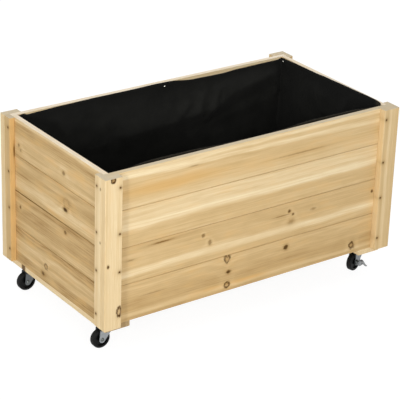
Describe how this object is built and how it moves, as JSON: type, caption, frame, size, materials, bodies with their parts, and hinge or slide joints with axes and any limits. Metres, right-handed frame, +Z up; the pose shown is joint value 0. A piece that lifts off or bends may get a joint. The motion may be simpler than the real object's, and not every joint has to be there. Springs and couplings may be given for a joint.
{
  "type": "rolling planter",
  "caption": "Raised timber planter box of tongue-and-groove boards with corner battens, a black fabric liner and swivel casters, some with a brake lever.",
  "frame": {"origin": "on the ground under the middle of the box", "axes": "+X along the length to the viewer's right, +Z up, the front wall faces -Y"},
  "size_m": [0.9, 0.495, 0.48],
  "materials": {
    "wall_board": "planed softwood, clear, with knots",
    "batten": "planed softwood, pale",
    "bearer": "planed softwood",
    "floor_wood": "sawn softwood",
    "liner_fabric": "matt black non-woven fabric",
    "pin_steel": "bright pin",
    "nail_steel": "dull nail head",
    "zinc": "zinc plated",
    "rivet_steel": "plain steel",
    "ball_steel": "polished balls",
    "lever_steel": "pressed and plated",
    "wheel_black": "black, slightly worn tread"
  },
  "bodies": {
    "planter": {"front_board_1": "wall_board", "front_board_2": "wall_board", "front_board_3": "wall_board", "front_board_4": "wall_board", "back_board_1": "wall_board", "back_board_2": "wall_board", "back_board_3": "wall_board", "back_board_4": "wall_board", "left_board_1": "wall_board", "left_board_2": "wall_board", "left_board_3": "wall_board", "left_board_4": "wall_board", "right_board_1": "wall_board", "right_board_2": "wall_board", "right_board_3": "wall_board", "right_board_4": "wall_board", "front_left_batten": "batten", "front_right_batten": "batten", "back_left_batten": "batten", "back_right_batten": "batten", "left_front_batten": "batten", "left_back_batten": "batten", "right_front_batten": "batten", "right_back_batten": "batten", "left_bearer": "bearer", "right_bearer": "bearer", "front_ledger": "floor_wood", "back_ledger": "floor_wood", "slat_1": "floor_wood", "slat_2": "floor_wood", "slat_3": "floor_wood", "slat_4": "floor_wood", "slat_5": "floor_wood", "slat_6": "floor_wood", "slat_7": "floor_wood", "liner": "liner_fabric", "liner_pins": "pin_steel", "nails": "nail_steel", "caster_screws": "zinc", "kingpins": "rivet_steel", "swivel_balls": "ball_steel", "front_left_plate": "zinc", "front_right_plate": "zinc", "back_left_plate": "zinc", "back_right_plate": "zinc"},
    "front_left_caster": {"front_left_fork": "zinc", "front_left_axle": "rivet_steel"},
    "front_left_wheel": {"front_left_wheel": "wheel_black"},
    "front_right_caster": {"front_right_fork": "zinc", "front_right_axle": "rivet_steel"},
    "front_right_wheel": {"front_right_wheel": "wheel_black"},
    "back_left_caster": {"back_left_fork": "zinc", "back_left_axle": "rivet_steel"},
    "back_left_wheel": {"back_left_wheel": "wheel_black"},
    "back_right_caster": {"back_right_fork": "zinc", "back_right_axle": "rivet_steel"},
    "back_right_wheel": {"back_right_wheel": "wheel_black"},
    "front_right_lever": {"front_right_lever": "lever_steel"},
    "back_right_lever": {"back_right_lever": "lever_steel"}
  },
  "joints": [
    {"name": "front_left_swivel", "type": "hinge", "parent": "planter", "child": "front_left_caster", "pos_m": [-0.4025, -0.1805, 0.0535], "axis": [0, 0, 1], "continuous": true},
    {"name": "front_left_roll", "type": "hinge", "parent": "front_left_caster", "child": "front_left_wheel", "pos_m": [-0.4195, -0.1805, 0.025], "axis": [0, -1, 0], "continuous": true},
    {"name": "front_right_swivel", "type": "hinge", "parent": "planter", "child": "front_right_caster", "pos_m": [0.4025, -0.1805, 0.0535], "axis": [0, 0, 1], "continuous": true},
    {"name": "front_right_roll", "type": "hinge", "parent": "front_right_caster", "child": "front_right_wheel", "pos_m": [0.38624, -0.18547, 0.025], "axis": [0.2924, -0.9563, 0], "continuous": true},
    {"name": "back_left_swivel", "type": "hinge", "parent": "planter", "child": "back_left_caster", "pos_m": [-0.4025, 0.1805, 0.0535], "axis": [0, 0, 1], "continuous": true},
    {"name": "back_left_roll", "type": "hinge", "parent": "back_left_caster", "child": "back_left_wheel", "pos_m": [-0.4195, 0.1805, 0.025], "axis": [0, -1, 0], "continuous": true},
    {"name": "back_right_swivel", "type": "hinge", "parent": "planter", "child": "back_right_caster", "pos_m": [0.4025, 0.1805, 0.0535], "axis": [0, 0, 1], "continuous": true},
    {"name": "back_right_roll", "type": "hinge", "parent": "back_right_caster", "child": "back_right_wheel", "pos_m": [0.38587, 0.18403, 0.025], "axis": [-0.2079, -0.9781, 0], "continuous": true},
    {"name": "front_right_brake", "type": "hinge", "parent": "front_right_caster", "child": "front_right_lever", "pos_m": [0.3927, -0.20661, 0.025], "axis": [-0.9563, -0.2924, 0], "range_deg": [0, 40]},
    {"name": "back_right_brake", "type": "hinge", "parent": "back_right_caster", "child": "back_right_lever", "pos_m": [0.38128, 0.16242, 0.025], "axis": [-0.9781, 0.2079, 0], "range_deg": [0, 40]}
  ]
}
